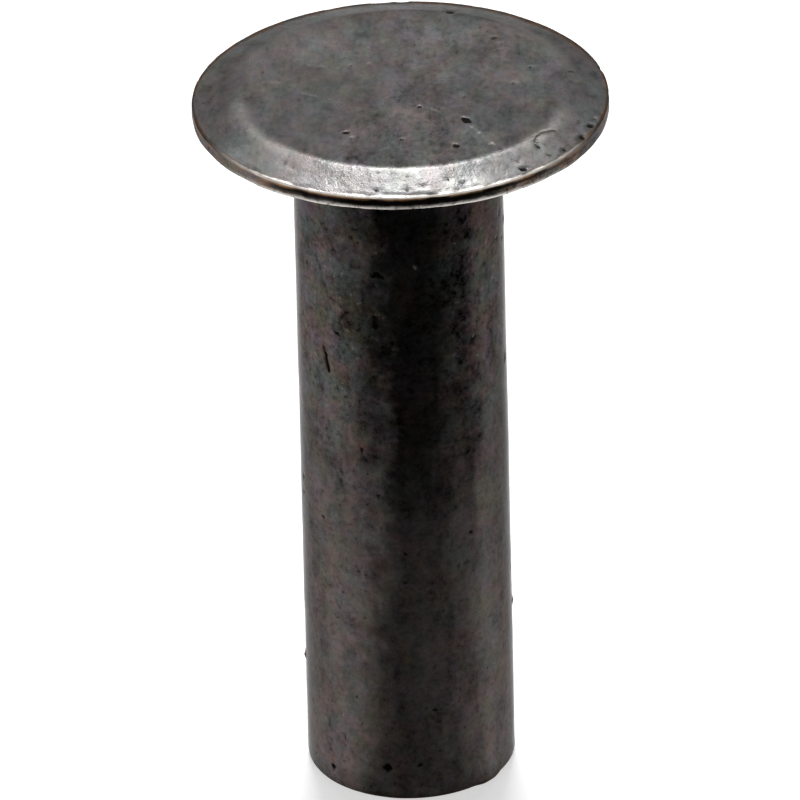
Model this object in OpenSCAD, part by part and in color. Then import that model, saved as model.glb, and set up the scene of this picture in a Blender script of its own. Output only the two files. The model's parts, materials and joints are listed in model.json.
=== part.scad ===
// Solid rivet with a thin flat head and a plain round shank, cold headed in one piece from round wire.
// It stands on its tail. The origin is the centre of the tail's end face, and +Z points to the head.

/* [Shank] */
// Diameter of the shank
shank_d = 8; // [6:0.1:10]
// Length of the shank, from the tail's end face to the underside of the head
shank_length = 28; // [15:0.1:60]
// Radius that rounds the corner of the tail's end face
tail_corner_r = 0.2; // [0.05:0.05:1]
// Radius of the fillet between the shank and the underside of the head
neck_fillet_r = 0.3; // [0.1:0.05:0.6]

/* [Head] */
// Diameter of the head across its rim
head_d = 15.9; // [14.5:0.1:20]
// Height of the rim's straight side
rim_height = 0.55; // [0.3:0.05:1.5]
// Radius that rounds the rim's lower edge
rim_under_r = 0.12; // [0.04:0.02:0.2]
// Rise of the bevel, from the rim's upper edge to the flat top
bevel_rise = 0.45; // [0.1:0.05:0.8]
// Diameter of the flat top, inside the bevel
flat_top_d = 12.7; // [9:0.1:12.8]
// Radius of the soft blend between the flat top and the bevel
top_blend_r = 1.2; // [0.2:0.1:2]

/* [Set-off of the heading tools] */
// Distance of the rim's axis from the shank's axis, towards +X
rim_offset = 0.16; // [0:0.01:0.3]
// Distance of the flat top's axis from the shank's axis, towards +X
flat_top_offset = 0.28; // [0:0.01:0.3]

/* [Hidden] */
$fn = 128;
// Colour of the dark, oiled steel
steel_color = [0.33, 0.32, 0.31];
// Radii of the shank, the rim and the flat top
shank_r = shank_d / 2;
head_r = head_d / 2;
flat_top_r = flat_top_d / 2;
// Heights of the rim's upper edge and of the flat top above the tail
rim_top_z = shank_length + rim_height;
flat_top_z = rim_top_z + bevel_rise;
// How deep the shank runs into the head, where the two are one metal
root_depth = rim_height / 2;
// How far the punch's form and the rim's cylinder run past the metal that they shape
tool_reach = 2;
// How far the bevel falls for each millimetre outwards, and its angle to the flat top
bevel_slope = bevel_rise / (head_r - flat_top_r);
bevel_angle = atan(bevel_slope);
// Number of short stretches that turn the blend from the flat top to the bevel
blend_steps = 6;
// Radius and height of the punch's form where it ends, outside the rim
punch_r = head_r + tool_reach;
punch_edge_z = flat_top_z - (punch_r - flat_top_r) * bevel_slope;

// The area between a square corner and the arc of radius r that rounds it.
// The way to the arc's centre is given by side_x and side_z, each 1 or -1.
module corner_area(corner, side_x, side_z, r) {
    centre = corner + r * [side_x, side_z];
    difference() {
        translate((corner + centre) / 2)
            square(r, center = true);
        translate(centre)
            circle(r = r);
    }
}

// Half section of the shank, with its rounded tail, its neck fillet and its root inside the head
module shank_section() {
    difference() {
        square([shank_r, shank_length]);
        corner_area([shank_r, 0], -1, 1, tail_corner_r);
    }
    corner_area([shank_r, shank_length], 1, -1, neck_fillet_r);
    translate([0, shank_length])
        square([shank_r + neck_fillet_r, root_depth]);
}

// Half section of the head's disc, open at the top, with the rounded lower edge of its rim
module disc_section() {
    difference() {
        translate([0, shank_length])
            square([head_r, flat_top_z + tool_reach - shank_length]);
        corner_area([head_r, shank_length], -1, 1, rim_under_r);
    }
}

// Half section of the form that the punch leaves: the flat top, its soft blend and the bevel
module punch_section() {
    base_z = min(punch_edge_z, shank_length) - tool_reach;
    blend_reach = top_blend_r * tan(bevel_angle / 2);
    blend_centre = [flat_top_r - blend_reach, flat_top_z - top_blend_r];
    blend = [
        for (i = [0 : blend_steps])
            let (turn = bevel_angle * i / blend_steps)
                blend_centre + top_blend_r * [sin(turn), cos(turn)]
    ];
    outside = [[punch_r, punch_edge_z], [punch_r, base_z], [0, base_z], [0, flat_top_z]];
    polygon(concat(blend, outside));
}

// The head: the rim's disc, cut off above by the punch's form, each about its own axis
module head() {
    intersection() {
        translate([rim_offset, 0, 0])
            rotate_extrude()
                disc_section();
        translate([flat_top_offset, 0, 0])
            rotate_extrude()
                punch_section();
    }
}

// The whole rivet, one piece of steel
module rivet() {
    color(steel_color) {
        rotate_extrude()
            shank_section();
        head();
    }
}

rivet();
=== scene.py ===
"""Flat-head solid rivet of dark oiled steel: its forged surface, its finish and a small studio."""

import json
import math
import random

import bmesh
import bpy
from bpy.props import FloatProperty, FloatVectorProperty, IntProperty, PointerProperty
from mathutils import Matrix, Vector, noise
from mathutils.kdtree import KDTree


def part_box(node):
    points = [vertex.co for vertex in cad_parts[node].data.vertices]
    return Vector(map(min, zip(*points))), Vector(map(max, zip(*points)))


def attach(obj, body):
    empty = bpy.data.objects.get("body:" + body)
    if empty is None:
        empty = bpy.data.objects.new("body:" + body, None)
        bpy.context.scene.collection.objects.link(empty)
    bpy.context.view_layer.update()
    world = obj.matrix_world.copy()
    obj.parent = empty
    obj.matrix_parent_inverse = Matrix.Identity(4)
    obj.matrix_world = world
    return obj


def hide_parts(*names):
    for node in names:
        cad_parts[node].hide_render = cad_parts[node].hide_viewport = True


bl_info = {
    "name": "Flat-head rivet",
    "version": (1, 0, 0),
    "blender": (4, 5, 0),
    "location": "3D View > Sidebar > Rivet",
    "description": "Models a cold headed steel rivet with its forging marks, and a studio for it",
    "category": "Object",
}

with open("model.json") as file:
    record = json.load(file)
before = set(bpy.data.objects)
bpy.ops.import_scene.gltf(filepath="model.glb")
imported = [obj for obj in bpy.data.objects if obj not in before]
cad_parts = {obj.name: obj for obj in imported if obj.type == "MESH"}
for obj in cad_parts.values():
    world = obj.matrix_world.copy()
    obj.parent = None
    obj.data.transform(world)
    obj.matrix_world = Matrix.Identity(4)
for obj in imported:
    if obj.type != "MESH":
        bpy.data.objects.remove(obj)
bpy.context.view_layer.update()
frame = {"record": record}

MM = 0.001
MOUNTS = {mount["name"]: mount for mount in frame["record"]["mounts"]}
RIVET_LOW, RIVET_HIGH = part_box("rivet")
SHANK_R = MOUNTS["shank"]["dims"]["r_mm"] * MM
SEAT_Z = MOUNTS["head_seat"]["pos_m"][2]
TOP_Z = RIVET_HIGH.z
HEAD_R = (RIVET_HIGH.y - RIVET_LOW.y) / 2
RIM_SHIFT = (RIVET_HIGH.x + RIVET_LOW.x) / 2
TOP_SHIFT = MOUNTS["head_top"]["pos_m"][0]

# Heights closer than the first, and points closer than the second, are taken as one
SAME_HEIGHT = MM * 1e-3
SAME_POINT = MM * 1e-4

# The worn marks also hold a painted highlight on the flat top, and the soot is joined by painted shade in the
# material
STAINS = ("grime", "wear", "rust")
EDGES = ("edge_out", "edge_up")


def length(name, description, default):
    """A length of the rivet, given in millimetres and kept in metres."""
    return FloatProperty(
        name=name, description=description, default=default * MM, unit="LENGTH", subtype="DISTANCE"
    )


def tone(name, description, default):
    """A linear colour."""
    return FloatVectorProperty(
        name=name, description=description, default=default, size=3, min=0, max=1, subtype="COLOR"
    )


class RivetSizes(bpy.types.PropertyGroup):
    flat_top_d: length("Flat top", "Diameter of the flat top, inside the bevel", 12.7)
    rim_height: length("Rim", "Height of the rim's straight side", 0.55)
    tail_corner_r: length("Tail corner", "Radius round the tail's end face", 0.3)
    neck_fillet_r: length("Neck fillet", "Radius between the shank and the head", 0.3)
    rim_under_r: length("Rim, below", "Radius of the rim's lower edge", 0.12)
    rim_edge_r: length("Rim, above", "Radius of the rim's worn upper edge", 0.06)
    top_blend_r: length("Top blend", "Radius between the flat top and the bevel", 1.2)
    pitch: length("Pitch", "Distance between the rings of the mesh", 0.14)
    rim_pitch: length("Rim pitch", "The same on the bevel and the rim", 0.09)
    flat_pitch: length("Pitch below", "The same on the tail's end face and under the head", 0.4)
    steps: IntProperty(name="Steps", description="Faces round the rivet", default=320, min=32)


class RivetWear(bpy.types.PropertyGroup):
    swell: length("Swell", "Height of the broad unevenness that forging left", 0.014)
    peel: length("Peel", "Height of the fine unevenness of the scale", 0.0025)
    draw: length("Draw", "Height of the lengthwise lines that drawing left on the shank", 0.003)
    edge_swell: length("Rim unevenness", "How far the rim's edge wanders in and out", 0.03)
    edge_reach: length("Rim reach", "How far inwards that unevenness reaches", 0.25)
    shank_pits: IntProperty(name="Shank pits", description="Small pits all round the shank", default=140)
    top_pits: IntProperty(name="Top pits", description="Small pits on the flat top", default=70)
    rim_nicks: IntProperty(name="Rim nicks", description="Nicks round the rim's edge", default=46)
    seed: IntProperty(name="Seed", description="Seed of the scattered marks", default=7)


class RivetSteel(bpy.types.PropertyGroup):
    rose: tone("Rosy scale", "Reddish patches of the scale", (0.144, 0.092, 0.104))
    moss: tone("Mossy scale", "Greenish patches between them", (0.092, 0.111, 0.084))
    tan: tone("Tan scale", "Yellowish patches of the scale", (0.136, 0.098, 0.073))
    slate: tone("Slate scale", "Bluish patches between them", (0.099, 0.103, 0.118))
    calm: tone("Calm scale", "Mean of the patches, mixed in lower down the shank", (0.116, 0.101, 0.095))
    head: tone("Head", "Greyer mean of the patches on the head", (0.098, 0.103, 0.104))
    rust: tone("Rust", "Thin brown rust", (0.150, 0.075, 0.035))
    # Soot is also the colour of the painted shade on the rim's side in front
    soot: tone("Soot", "Bottom of the pits, and the dark scale", (0.010, 0.008, 0.007))
    # Bare steel is also the colour of the painted highlights along the rim's edges in front
    bare: tone("Bare steel", "Edges that handling has worn bright", (0.74, 0.70, 0.65))
    copper: tone("Tarnish", "Bare steel that has tarnished, on the rim's side", (0.62, 0.34, 0.15))
    film: FloatProperty(
        name="Film", description="Gloss of the oil on the matt share", default=0.03, min=0, max=1
    )
    graze: FloatProperty(
        name="Graze", description="How far the scale brightens at a glance", default=0.35, min=0, max=1
    )


class RivetStudio(bpy.types.PropertyGroup):
    floor: tone("Floor", "Colour of the floor", (0.8, 0.8, 0.8))
    bounce: tone("Bounce", "Colour of the light that the floor throws back on the rivet", (0.15, 0.15, 0.15))
    lift: FloatProperty(
        name="Lift", description="Glow that makes the floor white for the camera", default=0.6
    )
    front_lift: FloatProperty(name="Front lift", description="The same in front of the rivet", default=0.2)
    sky: FloatProperty(name="Sky", description="Light of the backdrop on the rivet", default=0.05)
    camera_distance: FloatProperty(
        name="Camera distance", description="From the rivet's middle", default=0.795, unit="LENGTH"
    )


def corner_reach(before, corner, after, radius):
    """How far from the corner an arc of that radius meets the corner's two sides."""
    inner_angle = (before - corner).angle(after - corner)
    return radius / math.tan(inner_angle / 2)


def half_section(sizes):
    """The rivet's half section in the XZ plane, as a chain of edges from the tail's centre to the top's."""
    flat_r = sizes.flat_top_d / 2
    corners = [
        ((0, 0), 0, 0),
        ((SHANK_R, 0), sizes.tail_corner_r, 4),
        ((SHANK_R, SEAT_Z), sizes.neck_fillet_r, 5),
        ((HEAD_R, SEAT_Z), sizes.rim_under_r, 4),
        ((HEAD_R, SEAT_Z + sizes.rim_height), sizes.rim_edge_r, 4),
        ((flat_r, TOP_Z), sizes.top_blend_r, 6),
        ((0, TOP_Z), 0, 0),
    ]
    bm = bmesh.new()
    points = [Vector((r, 0, z)) for (r, z), *_ in corners]
    chain = [bm.verts.new(p) for p in points]
    for pair in zip(chain, chain[1:]):
        bm.edges.new(pair)
    for i, (_, radius, segments) in enumerate(corners):
        if radius:
            reach = corner_reach(points[i - 1], points[i], points[i + 1], radius)
            bmesh.ops.bevel(
                bm, geom=[chain[i]], offset=reach, offset_type="OFFSET", segments=segments,
                profile=0.5, affect="VERTICES", material=-1,
            )
    for edge in list(bm.edges):
        low, high = sorted(vert.co.z for vert in edge.verts)
        level = high - low < SAME_HEIGHT
        if level and high < SEAT_Z + SAME_HEIGHT:
            pitch = sizes.flat_pitch
        elif low > SEAT_Z - SAME_HEIGHT and not level:
            pitch = sizes.rim_pitch
        else:
            pitch = sizes.pitch
        cuts = math.ceil(edge.calc_length() / pitch) - 1
        if cuts > 0:
            bmesh.ops.subdivide_edges(bm, edges=[edge], cuts=cuts)
    return bm


def turn_section(bm, steps):
    """Turns the half section into a closed body about the Z axis."""
    bmesh.ops.spin(
        bm, geom=bm.verts[:] + bm.edges[:], cent=(0, 0, 0), axis=(0, 0, 1), dvec=(0, 0, 0),
        angle=math.tau, space=Matrix.Identity(4), steps=steps, use_merge=True,
        use_normal_flip=False, use_duplicate=False,
    )
    bmesh.ops.remove_doubles(bm, verts=bm.verts, dist=SAME_POINT)
    bmesh.ops.recalc_face_normals(bm, faces=bm.faces)


def set_off_head(bm, sizes):
    """Moves the rim and the flat top off the shank's axis, each by its own small amount."""
    flat_r = sizes.flat_top_d / 2
    rise = TOP_Z - SEAT_Z - sizes.rim_height
    slope = rise / (HEAD_R - flat_r)
    neck_r = SHANK_R + sizes.neck_fillet_r
    for vert in bm.verts:
        if vert.co.z < SEAT_Z - SAME_HEIGHT:
            continue
        radius = math.hypot(vert.co.x, vert.co.y)
        if vert.co.z > SEAT_Z + SAME_HEIGHT:
            outward = min(max((radius - flat_r) / (HEAD_R - flat_r), 0), 1)
            shift = TOP_SHIFT + (RIM_SHIFT - TOP_SHIFT) * outward
            side = vert.co.x / radius if radius else 0
            up = min(max((vert.co.z - SEAT_Z) / sizes.rim_height, 0), 1)
            vert.co.z += outward * up * slope * (TOP_SHIFT - RIM_SHIFT) * side
        else:
            shift = RIM_SHIFT * min(max((radius - neck_r) / (HEAD_R - neck_r), 0), 1)
        vert.co.x += shift


def on_shank(angle, height):
    """A place on the shank: degrees from the front towards +X, and millimetres above the tail."""
    turn = math.radians(angle)
    return Vector((math.sin(turn) * SHANK_R, -math.cos(turn) * SHANK_R, height * MM))


def on_head(x, y):
    """A place on the flat top or the bevel, in millimetres from the shank's axis."""
    return Vector((x * MM, y * MM, TOP_Z))


def on_rim(angle, rise):
    """A place on the rim's side: degrees from the front towards +X, and its height in the rim from 0 to 1."""
    turn = math.radians(angle)
    height = SEAT_Z + rise * bpy.context.scene.rivet_sizes.rim_height
    return Vector((RIM_SHIFT + math.sin(turn) * HEAD_R, -math.cos(turn) * HEAD_R, height))


def ease(share):
    """Turns an even rise from 0 to 1 into a soft one."""
    share = min(max(share, 0), 1)
    return share * share * (3 - 2 * share)


def wander(place, size, shift=0):
    """Smooth noise from about -1 to 1, whose waves are of that size in millimetres."""
    return noise.noise(place / (size * MM) + Vector((shift, shift, shift)))


# How far out a mark reaches past its radius where its edge is uneven, and how uneven that edge is
MARK_REACH = 1.4
MARK_UNEVENNESS = 0.45
# How soon a stain comes to its full strength inwards from its edge, and the same for rust
STAIN_RISE = 1.7
RUST_RISE = 1.2


class Skin:
    """The rivet's surface, on which forging, scale and handling leave their marks."""

    def __init__(self, bm):
        self.layers = {name: bm.verts.layers.float.new(name) for name in STAINS + EDGES}
        bm.normal_update()
        self.verts = list(bm.verts)
        self.places = [vert.co.copy() for vert in self.verts]
        self.normals = [vert.normal.copy() for vert in self.verts]
        self.rise = [0.0] * len(self.verts)
        self.stains = {name: [0.0] * len(self.verts) for name in STAINS + EDGES}
        self.tree = KDTree(len(self.verts))
        for i, place in enumerate(self.places):
            self.tree.insert(place, i)
        self.tree.balance()

    def spread(self, start, end, radius):
        """The points of the surface near a line, with shares from 1 on the line to 0 at the radius."""
        start = self.tree.find(start)[0]
        end = self.tree.find(end)[0]
        steps = max(1, math.ceil((end - start).length / (radius * 0.5)))
        shares = {}
        for step in range(steps + 1):
            spot = start.lerp(end, step / steps)
            for place, i, distance in self.tree.find_range(spot, radius * MARK_REACH):
                uneven = 1 + MARK_UNEVENNESS * noise.noise(place / (radius * 0.9))
                share = 1 - distance * uneven / radius
                if share > shares.get(i, 0):
                    shares[i] = share
        return shares.items()

    def stain(self, name, i, share):
        """Raises a stain at a point to that share, and never lowers it."""
        self.stains[name][i] = max(self.stains[name][i], min(share, 1))

    def mark(self, start, radius, depth, end=None, lip=0.0, **stains):
        """Presses a pit, or a groove where it has an end, and stains it. A negative depth is a bump."""
        radius *= MM
        for i, share in self.spread(start, end or start, radius):
            soft = ease(share * 1.4)
            self.rise[i] -= depth * MM * soft
            for name, strength in stains.items():
                rise = RUST_RISE if name == "rust" else STAIN_RISE
                self.stain(name, i, strength * min(1, share * rise))
            self.rise[i] += lip * MM * ease(share * 4) * (1 - ease(share * 2.5))

    def finish(self):
        """Moves the points, and keeps the stains as the mesh's attributes."""
        for i, vert in enumerate(self.verts):
            vert.co = self.places[i] + self.normals[i] * self.rise[i]
            vert.co.z = max(vert.co.z, 0)
            for name, layer in self.layers.items():
                vert[layer] = self.stains[name][i]


def from_rim(place, sizes):
    """How far a place lies outwards and upwards from the rim's upper edge, which is a little tilted."""
    x = place.x - RIM_SHIFT
    radius = math.hypot(x, place.y)
    slope = (TOP_Z - SEAT_Z - sizes.rim_height) / (HEAD_R - sizes.flat_top_d / 2)
    tilt = slope * (TOP_SHIFT - RIM_SHIFT) * (x / radius if radius else 0)
    return radius - HEAD_R, place.z - (SEAT_Z + sizes.rim_height + tilt)


def forge_skin(skin, sizes, use):
    """The unevenness that heading and drawing leave, and each point's way from the rim in millimetres."""
    for i, place in enumerate(skin.places):
        out, up = from_rim(place, sizes)
        skin.stains["edge_out"][i] = out / MM
        skin.stains["edge_up"][i] = up / MM
        swell = wander(place, 3.2) + 0.5 * wander(place, 1.3, 9)
        peel = wander(place, 0.45, 5) + 0.6 * wander(place, 0.24, 2)
        on_tail = place.z < sizes.tail_corner_r
        skin.rise[i] += swell * use.swell * (0.4 if on_tail else 1) + peel * use.peel
        if place.z < SEAT_Z:
            drawn = noise.noise(Vector((place.x / (0.5 * MM), place.y / (0.5 * MM), place.z / (6 * MM))))
            skin.rise[i] += drawn * use.draw
        elif out > -use.edge_reach:
            ragged = 0.6 * wander(place, 1.1, 3) + 0.5 * wander(place, 0.5, 4)
            in_front = 0.4 + 0.6 * ease(-place.y / HEAD_R)
            skin.rise[i] += ease(1 + out / use.edge_reach) * use.edge_swell * ragged * in_front


def rust_and_sheen_skin(skin, sizes, use):
    """Thin rust round the rim's side, and a faint painted highlight in a ring at the left and right of the
    flat top.
    """
    for i, place in enumerate(skin.places):
        if place.z < SEAT_Z - sizes.rim_under_r:
            continue
        if skin.stains["edge_out"][i] > -0.12:
            skin.stain("rust", i, 0.5 * ease(0.4 + 1.4 * wander(place, 1.2, 11)))
        # Painted highlight: a faint bright ring where the flat top meets the bevel, at its left and right
        # only, kept among the worn marks
        radius = math.hypot(place.x - TOP_SHIFT, place.y)
        ring = ease(1 - abs(radius - sizes.flat_top_d / 2 - 0.1 * MM) / (0.5 * MM))
        sideways = ease(abs(place.x - TOP_SHIFT) / (sizes.flat_top_d / 2) * 1.6 - 0.6)
        skin.stain("wear", i, ring * 0.14 * sideways * ease(0.6 + 1.1 * wander(place, 2.6, 13)))


# The marks that are placed one by one. Lengths are in millimetres, and a strength runs from 0 to 1.
# Degrees from the front towards +X, height, radius, depth, and strength of the stain
SHANK_PITS = (
    (-38, 20.2, 0.17, 0.05, 1.0), (-15, 20.9, 0.2, 0.04, 0.9), (-77, 12.8, 0.14, 0.04, 0.8),
    (-78, 12.0, 0.12, 0.03, 0.7), (-53, 11.7, 0.13, 0.03, 0.8), (38, 11.4, 0.14, 0.04, 0.9),
    (-1, 10.9, 0.13, 0.03, 0.8), (-14, 1.4, 0.26, 0.07, 1.0), (-49, 0.8, 0.2, 0.05, 1.0),
    (13, 4.0, 0.16, 0.03, 0.8), (-32, 4.4, 0.13, 0.03, 0.7), (4, 1.6, 0.17, 0.03, 0.7),
    (13, 9.5, 0.12, 0.02, 0.7), (-1, 9.6, 0.12, 0.02, 0.6), (-15, 13.5, 0.14, 0.03, 0.7),
    (24, 1.4, 0.12, 0.03, 0.6), (-25, 24.9, 0.16, 0.03, 0.6), (-24, 24.4, 0.15, 0.03, 0.7),
    (-23, 24.0, 0.13, 0.03, 0.6), (-35, 22.7, 0.14, 0.02, 0.6), (67, 23.2, 0.15, 0.04, 0.8),
    (76, 23.0, 0.14, 0.03, 0.8), (36, 25.7, 0.16, 0.03, 0.7), (48, 24.2, 0.14, 0.02, 0.5),
    (-44, 17.6, 0.13, 0.03, 0.7), (-34, 17.5, 0.12, 0.03, 0.7), (-25, 15.4, 0.14, 0.03, 0.7),
    (-41, 21.6, 0.13, 0.03, 0.7), (-2, 22.7, 0.18, 0.02, 0.6), (20, 21.8, 0.2, 0.02, 0.6),
    (-62, 6.2, 0.13, 0.02, 0.5), (52, 7.3, 0.14, 0.02, 0.5),
)
# Degrees and height where it starts and where it ends, radius, depth, strength
SHANK_GROOVES = (
    (-48, 19.3, -47, 19.0, 0.08, 0.03, 0.7), (-47, 19.0, -45, 18.4, 0.12, 0.06, 0.9),
    (-25, 15.3, -21, 14.9, 0.1, 0.02, 0.6), (19, 0.2, 43, 0.2, 0.1, 0.02, 0.6),
    (-16, 22.9, -13, 23.1, 0.14, 0.05, 0.9), (-13, 23.1, -10, 23.0, 0.15, 0.06, 0.9),
    (-15, 21.3, -15, 20.7, 0.16, 0.03, 0.7), (36, 20.4, 36, 19.0, 0.1, 0.01, 0.5),
    (-34, 23.3, -30, 22.7, 0.07, 0.01, 0.5), (7, 7.6, 7, 7.1, 0.09, 0.01, 0.4),
    (-39, 2.6, -39, 2.0, 0.08, 0.01, 0.5), (-52, 3.0, -51, 2.4, 0.08, 0.01, 0.4),
    (-46, 19.8, -37, 20.3, 0.07, 0.01, 0.3), (30, 14.0, 31, 12.8, 0.08, 0.01, 0.25),
)
# Degrees, height, radius
SHANK_BRIGHT = (
    (-36, 21.2, 0.1), (8, 23.4, 0.09), (-32, 20.4, 0.09), (-42, 20.1, 0.09), (-41, 3.4, 0.08),
    (-53, 9.3, 0.08),
)
# Degrees, height, radius, strength
SHANK_RUSTY = (
    (-30, 20.4, 0.3, 0.5), (-18, 21.6, 0.5, 0.5), (-48, 19.4, 0.2, 0.6), (-24, 15.6, 0.3, 0.4),
    (-50, 1.1, 0.45, 0.45), (-26, 24.3, 0.5, 0.4), (-18, 22.9, 0.4, 0.35), (-2, 22.5, 0.4, 0.3),
    (12, 21.0, 0.5, 0.25), (-35, 6.5, 0.5, 0.3),
)
# Degrees, height, radius, rise
SHANK_BUMPS = (
    (83, 23.5, 0.3, 0.03), (80, 17.7, 0.28, 0.03), (90, 6.6, 0.2, 0.05), (-90, 4.3, 0.16, 0.07),
    (48, 0.3, 0.9, 0.07),
)
# X and Y from the shank's axis, radius, depth, strength
TOP_PITS = (
    (2.2, 6.2, 0.26, 0.04, 0.8), (0.9, -1.6, 0.16, 0.03, 0.9), (-2.0, -3.5, 0.2, 0.03, 0.9),
    (-1.7, -3.9, 0.15, 0.03, 0.7), (0.2, -4.1, 0.17, 0.03, 0.8), (1.5, -5.0, 0.13, 0.02, 0.7),
    (2.2, -4.7, 0.2, 0.03, 0.9), (3.8, 3.9, 0.28, 0.02, 0.6), (4.0, 3.5, 0.18, 0.02, 0.6),
    (5.1, 1.5, 0.2, 0.02, 0.7), (4.6, 0.2, 0.24, 0.02, 0.6), (6.3, 2.6, 0.26, 0.03, 0.6),
    (6.7, 1.2, 0.2, 0.03, 0.8), (6.8, 0.5, 0.18, 0.03, 0.6), (-2.8, 1.9, 0.16, 0.02, 0.5),
    (-1.7, 1.9, 0.18, 0.02, 0.6), (-0.5, 3.8, 0.16, 0.02, 0.4), (1.9, -7.0, 0.15, 0.02, 0.7),
    (2.5, -7.2, 0.12, 0.02, 0.6), (1.0, -7.5, 0.14, 0.02, 0.3), (-4.3, -5.4, 0.18, 0.02, 0.5),
    (-4.0, -5.9, 0.14, 0.02, 0.4), (4.7, -6.2, 0.15, 0.03, 0.9), (4.6, -5.8, 0.12, 0.02, 0.5),
    (5.8, -5.1, 0.13, 0.02, 0.6), (-3.9, -2.9, 0.14, 0.02, 0.5), (-4.4, -1.9, 0.13, 0.02, 0.5),
    (3.4, 3.3, 0.13, 0.02, 0.6),
)
# X and Y where it starts and where it ends, radius, strength
TOP_SMUDGES = (
    (3.8, 2.6, 4.2, 2.9, 0.5, 0.4), (-2.6, 1.8, -2.2, 1.9, 0.4, 0.3), (5.7, -0.4, 5.8, 0.2, 0.5, 0.35),
    (-4.3, -3.3, -3.7, -3.6, 0.5, 0.3), (0.8, 4.6, 1.2, 4.8, 0.45, 0.3), (1.4, 0.6, 1.8, 0.7, 0.5, 0.35),
    (-5.5, 2.4, -5.3, 2.8, 0.4, 0.3), (6.9, -2.2, 7.0, -2.8, 0.3, 0.4), (-6.0, -0.8, -5.8, -1.2, 0.5, 0.3),
    (4.8, 4.1, 5.0, 3.9, 0.45, 0.35), (-1.0, -4.5, -0.6, -4.7, 0.5, 0.35),
    (2.2, -0.8, 2.4, -0.6, 0.45, 0.35), (-1.5, 1.9, -1.3, 1.9, 0.35, 0.35),
    (3.2, -2.0, 3.6, -1.6, 0.5, 0.25), (-2.4, -0.8, -2.0, -1.4, 0.5, 0.25),
)
# X and Y where a bright scratch starts and where it ends
TOP_BRIGHT = (
    (-5.0, 0.7, -4.3, 0.6), (-3.6, -0.2, -3.0, -0.5), (1.2, -1.6, 1.6, -2.0), (1.6, -2.0, 2.0, -1.6),
    (2.0, -1.6, 2.4, -1.5), (2.8, -3.2, 3.1, -3.7), (3.1, -3.7, 3.5, -4.4), (-6.3, -2.0, -6.1, -2.6),
)
# X, Y, strength
TOP_DOTS = ((2.8, -3.2, 0.25), (3.1, -3.7, 0.25), (3.6, -4.5, 0.5), (1.7, -1.6, 0.12), (-1.0, 2.1, 0.12))
# X, Y, radius, depth, strength
RIM_NOTCHES = (
    (7.4, -2.8, 0.2, 0.04, 0.9), (7.1, -3.7, 0.2, 0.04, 0.9), (7.6, -2.3, 0.14, 0.03, 0.8),
    (6.4, -4.7, 0.16, 0.03, 0.7), (-0.9, -7.6, 0.14, 0.02, 0.6), (0.3, -7.7, 0.12, 0.02, 0.6),
    (4.9, -6.2, 0.14, 0.03, 0.8),
)
# The largest pit of the flat top: X and Y where it starts and where it ends, radius, depth
DEEP_PIT = (2.6, -2.6, 2.7, -2.8, 0.23, 0.03)
# The curved lap in the bevel, as X and Y along it
LAP = ((6.0, -3.6), (5.7, -3.7), (5.5, -3.8), (5.3, -4.1), (5.2, -4.4), (5.3, -4.7), (5.4, -4.8))

# Height of the metal that a pit pushes up round itself, and depth of what is hardly more than a stain
PIT_LIP = 0.004
FAINT_DEPTH = 0.01
# How bright the shank's worn spots and the top's scratches are, from 0 to 1
SPOT_WEAR = 0.16
SCRATCH_WEAR = 0.06
# Radii of the top's bright scratches, of its bright dots and of the lap
SCRATCH_R = 0.09
DOT_R = 0.12
LAP_R = 0.1
# How sooty the lap is, and how much wider than in their tables the head's pits are pressed
LAP_GRIME = 0.7
HEAD_PIT_SPREAD = 1.1


def press_seen_marks(skin):
    """The marks that show from the front, each put in its given place."""
    for angle, height, radius, depth, strength in SHANK_PITS:
        skin.mark(on_shank(angle, height), radius, depth, grime=strength, lip=PIT_LIP)
    for angle, height, end_angle, end_height, radius, depth, strength in SHANK_GROOVES:
        skin.mark(on_shank(angle, height), radius, depth, grime=strength, end=on_shank(end_angle, end_height))
    for angle, height, radius in SHANK_BRIGHT:
        skin.mark(on_shank(angle, height), radius, FAINT_DEPTH, wear=SPOT_WEAR)
    for angle, height, radius, strength in SHANK_RUSTY:
        skin.mark(on_shank(angle, height), radius, 0, rust=strength)
    for angle, height, radius, rise in SHANK_BUMPS:
        skin.mark(on_shank(angle, height), radius, -rise)
    x, y, end_x, end_y, radius, depth = DEEP_PIT
    skin.mark(on_head(x, y), radius, depth, grime=1, end=on_head(end_x, end_y))
    for x, y, radius, depth, strength in TOP_PITS + RIM_NOTCHES:
        skin.mark(on_head(x, y), radius * HEAD_PIT_SPREAD, depth, grime=strength)
    for x, y, end_x, end_y, radius, strength in TOP_SMUDGES:
        skin.mark(on_head(x, y), radius, 0, grime=strength, end=on_head(end_x, end_y))
    for x, y, end_x, end_y in TOP_BRIGHT:
        skin.mark(on_head(x, y), SCRATCH_R, FAINT_DEPTH, wear=SCRATCH_WEAR, end=on_head(end_x, end_y))
    for x, y, strength in TOP_DOTS:
        skin.mark(on_head(x, y), DOT_R, FAINT_DEPTH, wear=strength)
    for (x, y), (end_x, end_y) in zip(LAP, LAP[1:]):
        skin.mark(on_head(x, y), LAP_R, FAINT_DEPTH, grime=LAP_GRIME, end=on_head(end_x, end_y))


# Lowest and highest scattered mark of the shank, and farthest one of the top from the shank's axis
SHANK_PITS_RANGE = (0.4, 27.6)
TOP_PITS_REACH = 7.4


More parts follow.
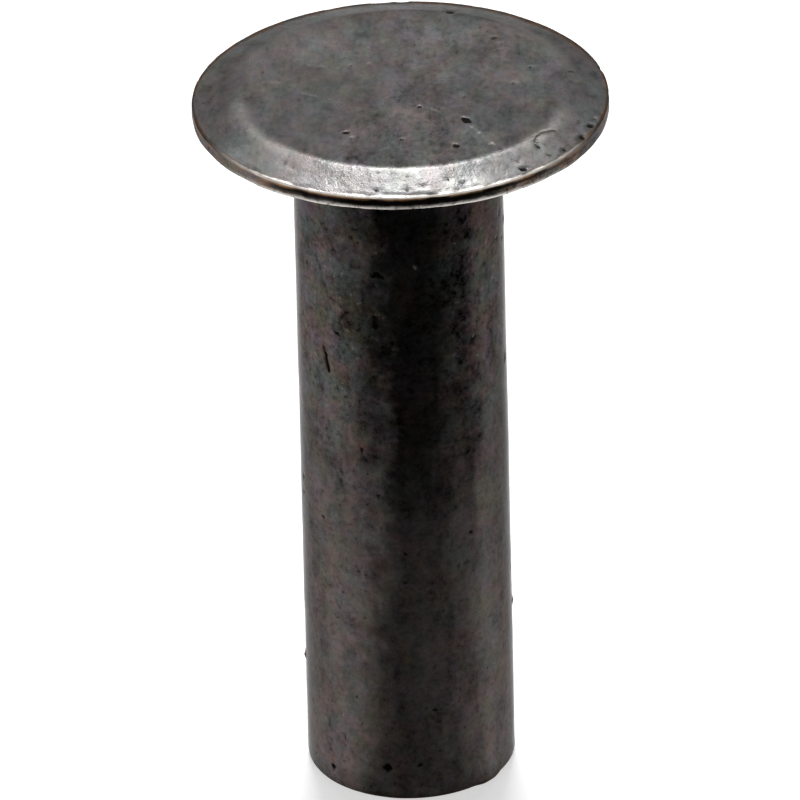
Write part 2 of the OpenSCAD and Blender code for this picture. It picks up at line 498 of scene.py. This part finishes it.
def scatter_marks(skin, use):
    """Small pits, rust and nicks all round, from a fixed seed."""
    chance = random.Random(use.seed)
    for _ in range(use.shank_pits):
        place = on_shank(chance.uniform(-180, 180), chance.uniform(*SHANK_PITS_RANGE))
        size = chance.uniform(0, 1) ** 3
        skin.mark(place, 0.11 + 0.12 * size, 0.006 + 0.02 * size, grime=chance.uniform(0.1, 0.5))
    for _ in range(use.shank_pits // 3):
        place = on_shank(chance.uniform(-180, 180), chance.uniform(*SHANK_PITS_RANGE))
        skin.mark(place, chance.uniform(0.2, 0.6), 0, rust=chance.uniform(0.15, 0.4))
    for _ in range(use.top_pits):
        angle, out = chance.uniform(0, math.tau), TOP_PITS_REACH * math.sqrt(chance.uniform(0, 1))
        place = on_head(out * math.cos(angle), out * math.sin(angle))
        skin.mark(place, 0.1 + 0.14 * chance.uniform(0, 1), 0.006, grime=chance.uniform(0.1, 0.45))
    for _ in range(use.rim_nicks):
        angle, rise = chance.uniform(-180, 180), chance.choice((0.0, 1.0, 1.0))
        size = chance.uniform(0, 1) ** 2
        end = on_rim(angle + chance.uniform(0, 3), rise)
        skin.mark(on_rim(angle, rise), 0.1 + 0.1 * size, 0.006 + 0.016 * size, grime=0.3 * size, end=end)


def build_rivet_mesh(sizes, use):
    bm = half_section(sizes)
    turn_section(bm, sizes.steps)
    set_off_head(bm, sizes)
    skin = Skin(bm)
    forge_skin(skin, sizes, use)
    rust_and_sheen_skin(skin, sizes, use)
    press_seen_marks(skin)
    scatter_marks(skin, use)
    skin.finish()
    mesh = bpy.data.meshes.new("rivet_body")
    bm.to_mesh(mesh)
    bm.free()
    mesh.shade_smooth()
    return mesh


class Signal:
    """A value that runs through a material's nodes. Arithmetic on it adds Math nodes."""

    def __init__(self, nodes, socket):
        self.nodes = nodes
        self.socket = socket

    def calculate(self, operation, *values):
        sockets = dict(enumerate(values))
        return self.nodes.add("ShaderNodeMath", {"operation": operation}, sockets)

    def __add__(self, other):
        return self.calculate("ADD", self, other)

    def __sub__(self, other):
        return self.calculate("SUBTRACT", self, other)

    def __rsub__(self, other):
        return self.calculate("SUBTRACT", other, self)

    def __mul__(self, other):
        return self.calculate("MULTIPLY", self, other)

    def most(self, other):
        return self.calculate("MAXIMUM", self, other)

    def ramp(self, low, high, start=0.0, end=1.0):
        """Runs softly from start to end while the signal runs from low to high."""
        sockets = {"Value": self, "From Min": low, "From Max": high, "To Min": start, "To Max": end}
        return self.nodes.add("ShaderNodeMapRange", {"interpolation_type": "SMOOTHSTEP"}, sockets)

    __radd__ = __add__
    __rmul__ = __mul__


class Nodes:
    """The nodes of one material, or of the world."""

    def __init__(self, owner):
        owner.use_nodes = True
        self.tree = owner.node_tree
        self.tree.nodes.clear()

    def add(self, kind, settings=None, sockets=None, output=0):
        """Adds a node with its settings, feeds its sockets, and returns the output or outputs asked for."""
        made = self.tree.nodes.new(kind)
        for name, value in (settings or {}).items():
            setattr(made, name, value)
        for name, value in (sockets or {}).items():
            if isinstance(value, Signal):
                self.tree.links.new(value.socket, made.inputs[name])
            else:
                made.inputs[name].default_value = value
        if isinstance(output, tuple):
            return [Signal(self, made.outputs[name]) for name in output]
        return Signal(self, made.outputs[output]) if made.outputs else made


def grain(nodes, place, size, detail=2.0, shift=0.0):
    """Noise from 0 to 1, whose grains are of that size in millimetres."""
    sockets = {"Vector": place, "W": shift, "Scale": 1 / size, "Detail": detail}
    return nodes.add("ShaderNodeTexNoise", {"noise_dimensions": "4D"}, sockets)


def hue_patches(nodes, place, shift):
    """Patches from 0 to 1, broad ones with small ones in them."""
    broad = grain(nodes, place, 1.4, 1, shift)
    middle = grain(nodes, place, 0.8, 2, shift + 1)
    small = grain(nodes, place, 0.3, 1, shift + 2)
    return (broad * 0.45 + middle * 0.6 + small * 0.35).ramp(0.59, 0.81)


def mix_tones(nodes, share, first, second):
    sockets = {0: share, 6: first, 7: second}
    return nodes.add("ShaderNodeMix", {"data_type": "RGBA"}, sockets, 2)


def stretch(nodes, place, shares):
    """The place with its axes shortened to those shares. A pattern on it is drawn out along them."""
    return nodes.add("ShaderNodeVectorMath", {"operation": "MULTIPLY"}, {0: place, 1: shares})


# What the weighted patterns of the mottling come to on average
MOTTLING_MEAN = 2.13
# Height of the finest grain, which only the light shows
GRAIN_HEIGHT = 0.01 * MM


class Spot:
    """A spot of the steel: where it lies in millimetres, how it is stained, and the patterns on it."""

    def __init__(self, nodes):
        self.nodes = nodes
        here = nodes.add("ShaderNodeTexCoord", None, None, "Object")
        place = nodes.add("ShaderNodeVectorMath", {"operation": "SCALE"}, {0: here, "Scale": 1 / MM})
        self.place = place
        self.x, self.y, self.z = nodes.add("ShaderNodeSeparateXYZ", None, {0: place}, ("X", "Y", "Z"))
        self.grime, self.wear, self.rust, self.out, self.up = (
            nodes.add("ShaderNodeAttribute", {"attribute_name": name}, None, "Fac") for name in STAINS + EDGES
        )
        self.low = self.z - SEAT_Z / MM
        self.head = self.low.ramp(0.2, 0.5)
        self.tall = self.z.ramp(12, 20) * (1 - self.head)
        self.front = self.y.ramp(-7.5, -2.5, 1, 0)
        self.on_top = self.up.ramp(-0.04, -0.02)
        self.on_bevel = self.out.ramp(-1.8, -1.4)
        self.bevel = self.on_bevel * self.front
        self.side = self.up.ramp(-0.03, -0.1) * self.low.ramp(0.1, 0.3) * self.out.ramp(-0.1, -0.05)
        self.add_patterns(nodes, place)

    def add_patterns(self, nodes, place):
        """Noises from 0 to 1 by their grain. Those on the top are longer from front to back."""
        long_top = stretch(nodes, place, (1, 0.6, 1))
        sockets = {0: self.on_top, 4: place, 5: long_top}
        pattern = nodes.add("ShaderNodeMix", {"data_type": "VECTOR"}, sockets, 1)
        self.patches = grain(nodes, pattern, 1.5, 3)
        self.broad = grain(nodes, stretch(nodes, pattern, (1, 1, 0.4)), 0.9, 2, 60)
        self.mottle = grain(nodes, pattern, 0.45, 2, 20)
        self.lines = grain(nodes, stretch(nodes, pattern, (1, 1, 0.22)), 0.5, 2, 4)
        self.streaks = grain(nodes, stretch(nodes, pattern, (1, 1, 0.1)), 1.0, 2, 90)
        self.flecks = grain(nodes, pattern, 0.32, 1, 70)
        self.glints = grain(nodes, place, 0.2, 0, 80).ramp(0.72, 0.8)
        self.speckle = grain(nodes, pattern, 0.2, 2, 8)
        self.fine = grain(nodes, place, 0.075, 1, 12)
        self.ragged = grain(nodes, place, 0.5, 3, 30) - 0.5
        self.redness = hue_patches(nodes, pattern, 40)
        self.blueness = hue_patches(nodes, pattern, 50)


def wear_and_sheen_share(spot):
    """How bare the steel is: at the worn marks, on the rim's tarnished side in front, and along the rim's
    upper and lower edges in front, whose bright lines are partly worn edges and partly painted highlights.
    """
    out, up, low, ragged = spot.out, spot.up, spot.low, spot.ragged
    # Painted highlights, partly worn edges: bright lines along the rim's upper and lower edges, kept to the
    # front
    upper = (out + ragged * 0.2).ramp(-0.13, -0.04) * (up + ragged * 0.1).ramp(-0.08, -0.03)
    lower = (low + ragged * 0.2).ramp(0.26, 0.07) * out.ramp(-0.16, -0.1)
    lower = lower * spot.speckle.ramp(0.3, 0.5, 0.5, 1)
    tarnish = (up + ragged * 0.15).ramp(-0.16, -0.07) * out.ramp(-0.1, -0.05)
    tarnish = tarnish * spot.patches.ramp(0.38, 0.56, 0.1, 1) * spot.x.ramp(-6.5, -5)
    tarnish = tarnish * (0.6 + spot.mottle * 0.8)
    wear = spot.wear.most(upper * spot.front * (0.75 + ragged * 0.8))
    wear = wear.most(lower * spot.front * (0.95 + ragged * 0.8))
    return wear.most(tarnish * spot.front * 0.6)


def rim_side_shade_and_soot(spot):
    """How dark the rim's side is: in front, painted shade darkens it between its left and right ends; behind,
    soot darkens it less; it is ragged all round.
    """
    x, front = spot.x, spot.front
    below = x.ramp(-5.5, -1.5, 0, 0.85) * x.ramp(2.2, 4.2, 1, 0.1)
    under_edge = x.ramp(-5.2, -4, 0.05, 1) * x.ramp(4.5, 7, 1, 0.5)
    shade_and_soot = front * (below + (under_edge - below) * spot.up.ramp(-0.3, -0.14)) + (1 - front) * 0.4
    return spot.side * (shade_and_soot + spot.ragged * 0.6)


def grime_rust_and_shade(spot):
    """How dark and how rusty the steel is: at the marks, on the rim's side with its painted shade in front,
    in thin dark lines along the rim's upper edge, with rust on the rim's side, and at the tail's foot.
    """
    out, up, ragged, front, on_top = spot.out, spot.up, spot.ragged, spot.front, spot.on_top
    inner_line = out.ramp(-0.36, -0.26) * out.ramp(-0.14, -0.2) * on_top * front * (0.1 + ragged)
    back_line = (out * spot.y.ramp(0, 6, 1, 0.3) + ragged * 0.15).ramp(-0.2, -0.05) * (1 - front) * on_top
    brown = (up + ragged * 0.2).ramp(-0.24, -0.08) * out.ramp(-0.1, -0.04)
    brown = brown * spot.patches.ramp(0.42, 0.6, 0.1, 0.8)
    foot = (spot.z + ragged * 0.5).ramp(0.4, 0.05)
    grime = spot.grime.ramp(0.02, 0.92)
    solid = grime.ramp(0.5, 0.8)
    grime = grime * (solid + (1 - solid) * spot.speckle.ramp(0.64, 0.36) * 1.2)
    # Painted shade: the darkening of the rim's side in front is painted shade, and joins the soot of the
    # marks here
    grime = grime.most(rim_side_shade_and_soot(spot) * (1 - brown * 0.7))
    grime = grime.most(back_line * 0.6).most(inner_line).most(foot * 0.5)
    rust = spot.rust.most(brown).most(back_line).most(foot * spot.patches.ramp(0.45, 0.6))
    return grime, rust


def painted_shank_light(spot):
    """Painted light and shade on the shank's scale: a painted dark reflection in a streak down the front,
    less deep lower down, painted light on the front half lower down, and painted shade just under the head.
    """
    nodes, place, x, y, z = spot.nodes, spot.place, spot.x, spot.y, spot.z
    turn = nodes.add("ShaderNodeMath", {"operation": "ARCTAN2"}, {0: x, 1: y * -1.0})
    uneven = (grain(nodes, stretch(nodes, place, (1, 1, 0.3)), 1.6) - 0.5) * 0.35
    uneven = uneven + (grain(nodes, place, 0.8, 3, 24) - 0.5) * 0.7
    turn = turn + uneven * turn.ramp(0.1, 0.6, 1, 0.5)
    left = (turn + z.ramp(3, 13, 0.12, -0.07) + z.ramp(14, 20, 0, 0.12)).ramp(-0.03, -0.72)
    sharp = turn.ramp(0.25, 0.66) * 0.22 + turn.ramp(0.68, 0.87) * 0.5
    right = sharp + z.ramp(14, 7) * (turn.ramp(0.36, 0.98) * 0.9 - sharp)
    # How deep the painted dark reflection is, and the painted light on the front half lower down
    depth = z.ramp(8, 17, 0.3, 0.06)
    low_front_light = z.ramp(8, 22, 0.65, 0.1) * y.ramp(0, -2.8)
    return (depth + (1 - depth) * (left + right)) * (1 + low_front_light) * z.ramp(22.8, 25.5, 1, 0.76)


def painted_head_light(spot):
    """Painted light and shade on the head, as shares of the flat top's level: painted shade on the bevel
    behind, painted light on the flat towards its back, a painted highlight on the front bevel left and right
    of the middle, and painted light at the left and right ends of the rim's side.
    """
    out, x, y = spot.out, spot.x, spot.y
    back_bevel_shade = y.ramp(-1, 3) * (0.1 + out.ramp(-0.5, -1.5) * 0.22 + x.ramp(0, 4) * 0.15)
    back_bevel_shade = back_bevel_shade + y.ramp(7, 7.5) * 0.2
    back_flat_light = out.ramp(-1.6, -2.2) * spot.head * y.ramp(-1, 4) * y.ramp(6.5, 4)
    back_flat_light = back_flat_light * x.ramp(1, 4, 0.25, 0.15)
    shoulder_highlight = x.ramp(-5, -4) * x.ramp(-1.8, -2.6) * 0.45 + x.ramp(2.2, 3.2) * x.ramp(5, 4.2) * 0.7
    side_end_light = (x.ramp(-4.4, -5.4) + x.ramp(3.6, 4.8)) * 2
    return back_flat_light - back_bevel_shade * spot.on_bevel + spot.bevel * shoulder_highlight + spot.side * side_end_light


def mottling(spot):
    """How far the scale's patterns make it lighter or darker than its mean, as a share of it."""
    head, tall = spot.head, spot.tall
    spread = spot.patches * 0.6 + spot.broad * 0.65 + spot.mottle * 1.15
    spread = spread + spot.lines * 0.4 + spot.speckle * 0.85 + spot.fine * 0.6 - MOTTLING_MEAN
    spread = spread + (spot.streaks - 0.5) * (1 - head) * (0.9 - tall * 0.3)
    spread = spread + tall * (spot.flecks.ramp(0.42, 0.3) * -0.25 + spot.glints * 0.5 + 0.12)
    return spread * (1.05 + tall * 0.8 - head * (0.2 + spot.bevel * 0.25))


def scale_colour(spot, steel, rust):
    """The colour of the dark scale with its rust and with painted light and shade on the shank and the head,
    without the soot and the bare steel.
    """
    nodes, head, bevel = spot.nodes, spot.head, spot.bevel
    warm = mix_tones(nodes, spot.redness, (*steel.moss, 1), (*steel.rose, 1))
    cold = mix_tones(nodes, spot.blueness, (*steel.tan, 1), (*steel.slate, 1))
    plain = mix_tones(nodes, head - bevel * 0.25, (*steel.calm, 1), (*steel.head, 1))
    plainness = spot.z.ramp(12, 20, 0.4, 0) + head * 0.5 + bevel * 0.3
    scale = mix_tones(nodes, plainness, mix_tones(nodes, 0.5, warm, cold), plain)
    scale = mix_tones(nodes, rust * spot.mottle.ramp(0.35, 0.6), scale, (*steel.rust, 1))
    # The level carries painted light and shade: a painted dark reflection down the shank's front, where the
    # mottling is also stronger, and painted light and shade on the head
    shank = painted_shank_light(spot)
    dark = 1 - shank.ramp(0.2, 0.8)
    level = (1 + mottling(spot) * (1 + dark * 0.7)) * (shank + (1 - shank) * head + painted_head_light(spot))
    return nodes.add("ShaderNodeVectorMath", {"operation": "SCALE"}, {0: scale, "Scale": level})


def steel_material(steel):
    """Steel under a thin dark scale: partly matt, partly oiled, mottled and bright where it is worn, with
    painted highlights along the rim's edges in front, and painted light and shade on the shank, the head and
    the rim's side.
    """
    material = bpy.data.materials.new("dark_oiled_steel")
    nodes = Nodes(material)
    spot = Spot(nodes)
    wear = wear_and_sheen_share(spot)
    grime, rust = grime_rust_and_shade(spot)
    specks = spot.speckle.ramp(0.37, 0.26) * (0.6 - spot.head * 0.2)
    # The soot here also takes the painted shade of the rim's side in front
    stain = grime + (1 - grime) * specks
    scale = mix_tones(nodes, stain, scale_colour(spot, steel, rust), (*steel.soot, 1))
    tarnished = spot.up.ramp(-0.03, -0.08) * spot.low.ramp(0.2, 0.35)
    bare = mix_tones(nodes, tarnished, (*steel.bare, 1), (*steel.copper, 1))
    height = spot.speckle * 0.5 + spot.fine * 0.35 + spot.lines * 0.25
    bump_sockets = {"Strength": 1.0, "Distance": GRAIN_HEIGHT, "Height": height}
    dry = 0.22 + spot.mottle * 0.36
    sockets = {
        # The bare colour also makes the painted highlights along the rim's edges in front
        "Base Color": mix_tones(nodes, wear, scale, bare),
        "Metallic": wear + (1 - wear) * (1 - grime * 0.9) * (1 - dry) * 0.6,
        "Roughness": 0.14 + spot.patches * 0.16 + grime * 0.6 + rust * 0.1,
        "Specular IOR Level": steel.film,
        "Specular Tint": (steel.graze, steel.graze, steel.graze, 1),
        "Normal": nodes.add("ShaderNodeBump", None, bump_sockets),
    }
    shader = nodes.add("ShaderNodeBsdfPrincipled", None, sockets)
    nodes.add("ShaderNodeOutputMaterial", None, {"Surface": shader})
    return material


def shown_rays(nodes):
    """1 for the rays that show the background: the camera's, and those of a gloss or a glass."""
    rays = ("Is Camera Ray", "Is Glossy Ray", "Is Transmission Ray")
    camera, glossy, through = nodes.add("ShaderNodeLightPath", None, None, rays)
    return camera + glossy + through


# Where along Y the front lift gives way to the lift, and how far off the floor turns white
FRONT_FADE = (-35 * MM, -2 * MM)
FAR_FADE = (120 * MM, 300 * MM)


def floor_material(studio):
    """A pale floor that keeps the shadow, white behind and beside the rivet and a little greyer in front."""
    material = bpy.data.materials.new("pale_floor")
    nodes = Nodes(material)
    here = nodes.add("ShaderNodeTexCoord", None, None, "Object")
    y = nodes.add("ShaderNodeSeparateXYZ", None, {0: here}, "Y")
    distance = nodes.add("ShaderNodeVectorMath", {"operation": "LENGTH"}, {0: here}, "Value")
    lift = y.ramp(*FRONT_FADE, studio.front_lift, studio.lift)
    pale = nodes.add("ShaderNodeBsdfDiffuse", None, {"Color": (*studio.floor, 1)})
    glow = nodes.add("ShaderNodeEmission", None, {"Strength": lift})
    near = nodes.add("ShaderNodeAddShader", None, {0: pale, 1: glow})
    white = nodes.add("ShaderNodeEmission", None, {"Strength": 1.0})
    shown = nodes.add("ShaderNodeMixShader", None, {0: distance.ramp(*FAR_FADE), 1: near, 2: white})
    bounce = nodes.add("ShaderNodeBsdfDiffuse", None, {"Color": (*studio.bounce, 1)})
    shader = nodes.add("ShaderNodeMixShader", None, {0: shown_rays(nodes), 1: bounce, 2: shown})
    nodes.add("ShaderNodeOutputMaterial", None, {"Surface": shader})
    return material


def studio_world(studio):
    """A white backdrop that lights the rivet only faintly."""
    world = bpy.data.worlds.new("studio_world")
    nodes = Nodes(world)
    strength = studio.sky + shown_rays(nodes) * (1 - studio.sky)
    back = nodes.add("ShaderNodeBackground", None, {"Color": (1, 1, 1, 1), "Strength": strength})
    nodes.add("ShaderNodeOutputWorld", None, {"Surface": back})
    return world


def direction(azimuth, elevation):
    """The way out from the rivet. Azimuth 0 is the camera's side, 90 the right."""
    a, e = math.radians(azimuth), math.radians(elevation)
    return Vector((math.sin(a) * math.cos(e), -math.cos(a) * math.cos(e), math.sin(e)))


def add_softbox(name, azimuth, elevation, distance, size, watts, aim):
    lamp = bpy.data.lights.new(name, "AREA")
    lamp.shape = "RECTANGLE"
    lamp.size, lamp.size_y = size
    lamp.energy = watts
    box = bpy.data.objects.new(name, lamp)
    bpy.context.scene.collection.objects.link(box)
    way = direction(azimuth, elevation)
    box.location = Vector(aim) + way * distance
    box.rotation_euler = way.to_track_quat("Z", "Y").to_euler()
    box.visible_camera = False


# Half the width of the floor, in metres
FLOOR_REACH = 3
# Name, azimuth and elevation in degrees, distance, width and height, watts, and the point it shines at
LAMPS = (
    ("overhead_box", 180, 58, 0.3, (0.07, 0.07), 0.57, (0, 0.01, 0.02)),
    ("wide_box", 180, 50, 0.4, (0.32, 0.1), 0.5, (0, 0, 0.026)),
    ("left_box", -95, 8, 0.25, (0.08, 0.06), 0.08, (0, 0, 0.016)),
    ("right_box", 110, 8, 0.25, (0.08, 0.06), 0.03, (0, 0, 0.016)),
)
# The camera stands off from the middle at this angle above the level, and looks at the aim, a little rolled
CAMERA_MIDDLE = (0, 0, 0.014)
CAMERA_AIM = (-0.00013, 0.00062, 0.01512)
CAMERA_ELEVATION = 28.997
CAMERA_ROLL = -1.392
# Lens and sensor in millimetres, and the nearest and farthest distance seen in metres
CAMERA_LENS = 932.2
CAMERA_SENSOR = 36
CAMERA_NEAR = 0.1
CAMERA_FAR = 10


def add_camera(distance):
    camera = bpy.data.objects.new("camera", bpy.data.cameras.new("camera"))
    bpy.context.scene.collection.objects.link(camera)
    camera.data.sensor_width = CAMERA_SENSOR
    camera.data.lens = CAMERA_LENS
    camera.data.clip_start = CAMERA_NEAR
    camera.data.clip_end = CAMERA_FAR
    camera.location = Vector(CAMERA_MIDDLE) + direction(0, CAMERA_ELEVATION) * distance
    way = camera.location - Vector(CAMERA_AIM)
    turn = way.to_track_quat("Z", "Y").to_matrix() @ Matrix.Rotation(math.radians(CAMERA_ROLL), 3, "Z")
    camera.rotation_euler = turn.to_euler()
    return camera


def add_floor(studio):
    bm = bmesh.new()
    bmesh.ops.create_grid(bm, x_segments=1, y_segments=1, size=FLOOR_REACH)
    mesh = bpy.data.meshes.new("floor")
    bm.to_mesh(mesh)
    bm.free()
    floor = bpy.data.objects.new("floor", mesh)
    bpy.context.scene.collection.objects.link(floor)
    floor.data.materials.append(floor_material(studio))
    return floor


class RIVET_OT_body(bpy.types.Operator):
    """Models the rivet, in one piece of steel, in place of its plain solid"""

    bl_idname = "rivet.body"
    bl_label = "Rivet"

    def execute(self, context):
        scene = context.scene
        body = bpy.data.objects.new("rivet_body", build_rivet_mesh(scene.rivet_sizes, scene.rivet_wear))
        scene.collection.objects.link(body)
        body.data.materials.append(steel_material(scene.rivet_steel))
        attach(body, "root")
        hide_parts("rivet")
        return {"FINISHED"}


class RIVET_OT_stage(bpy.types.Operator):
    """Sets the floor, the lamps, the backdrop and the camera"""

    bl_idname = "rivet.stage"
    bl_label = "Studio"

    def execute(self, context):
        scene = context.scene
        studio = scene.rivet_studio
        floor = add_floor(studio)
        for lamp in LAMPS:
            add_softbox(*lamp)
        scene.world = studio_world(studio)
        scene.camera = add_camera(studio.camera_distance)
        scene.view_settings.view_transform = "Standard"
        return {"FINISHED"}


class RIVET_PT_panel(bpy.types.Panel):
    bl_label = "Rivet"
    bl_space_type = "VIEW_3D"
    bl_region_type = "UI"
    bl_category = "Rivet"

    def draw(self, context):
        for operator in OPERATORS:
            self.layout.operator(operator.bl_idname)


OPERATORS = (RIVET_OT_body, RIVET_OT_stage)
GROUPS = {
    "rivet_sizes": RivetSizes,
    "rivet_wear": RivetWear,
    "rivet_steel": RivetSteel,
    "rivet_studio": RivetStudio,
}
CLASSES = (*GROUPS.values(), *OPERATORS, RIVET_PT_panel)


def register():
    for cls in CLASSES:
        bpy.utils.register_class(cls)
    for name, group in GROUPS.items():
        setattr(bpy.types.Scene, name, PointerProperty(type=group))


def unregister():
    for name in GROUPS:
        delattr(bpy.types.Scene, name)
    for cls in reversed(CLASSES):
        bpy.utils.unregister_class(cls)


def main():
    register()
    bpy.ops.rivet.stage()
    bpy.ops.rivet.body()


if __name__ == "__main__":
    main()
